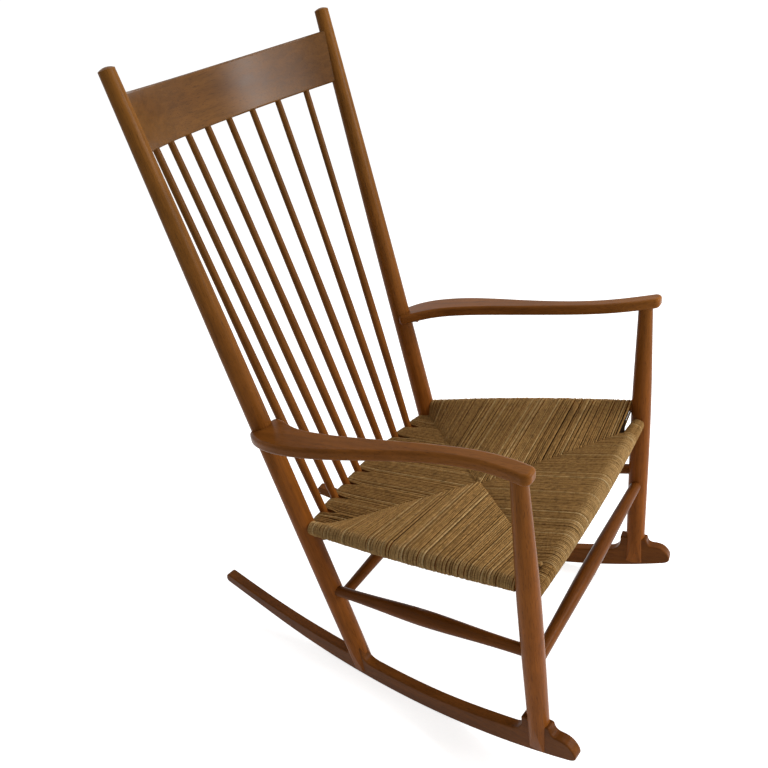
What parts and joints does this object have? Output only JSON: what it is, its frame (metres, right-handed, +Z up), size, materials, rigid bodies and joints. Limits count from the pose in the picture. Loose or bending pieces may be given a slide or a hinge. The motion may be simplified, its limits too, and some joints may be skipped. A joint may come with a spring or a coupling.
{
  "type": "rocking chair",
  "caption": "High-back rocking chair with turned posts, slender spindles, a bowed crest board, shaped arms and a woven cord seat on curved rockers.",
  "frame": {"origin": "on the floor, under the middle of the chair's bounding box", "axes": "+X to the sitter's left, +Y to the back of the chair, +Z up; the sitter faces -Y"},
  "size_m": [0.5876, 0.7922, 1.0937],
  "materials": {
    "lacquered_wood": "satin",
    "bare_wood": "matte",
    "papercord": "matte"
  },
  "bodies": {
    "root": {"arm_dowel_left": "bare_wood", "arm_dowel_right": "bare_wood", "arm_left": "lacquered_wood", "arm_right": "lacquered_wood", "crest_board": "lacquered_wood", "front_leg_left": "lacquered_wood", "front_leg_right": "lacquered_wood", "papercord_seat": "papercord", "rear_post_left": "lacquered_wood", "rear_post_right": "lacquered_wood", "rocker_left": "lacquered_wood", "rocker_right": "lacquered_wood", "seat_rail_front": "bare_wood", "seat_rail_left": "bare_wood", "seat_rail_rear": "bare_wood", "seat_rail_right": "bare_wood", "spindle_1": "lacquered_wood", "spindle_2": "lacquered_wood", "spindle_3": "lacquered_wood", "spindle_4": "lacquered_wood", "spindle_5": "lacquered_wood", "spindle_6": "lacquered_wood", "spindle_7": "lacquered_wood", "spindle_8": "lacquered_wood", "stretcher_front": "lacquered_wood", "stretcher_left": "lacquered_wood", "stretcher_rear": "lacquered_wood", "stretcher_right": "lacquered_wood"}
  },
  "joints": []
}
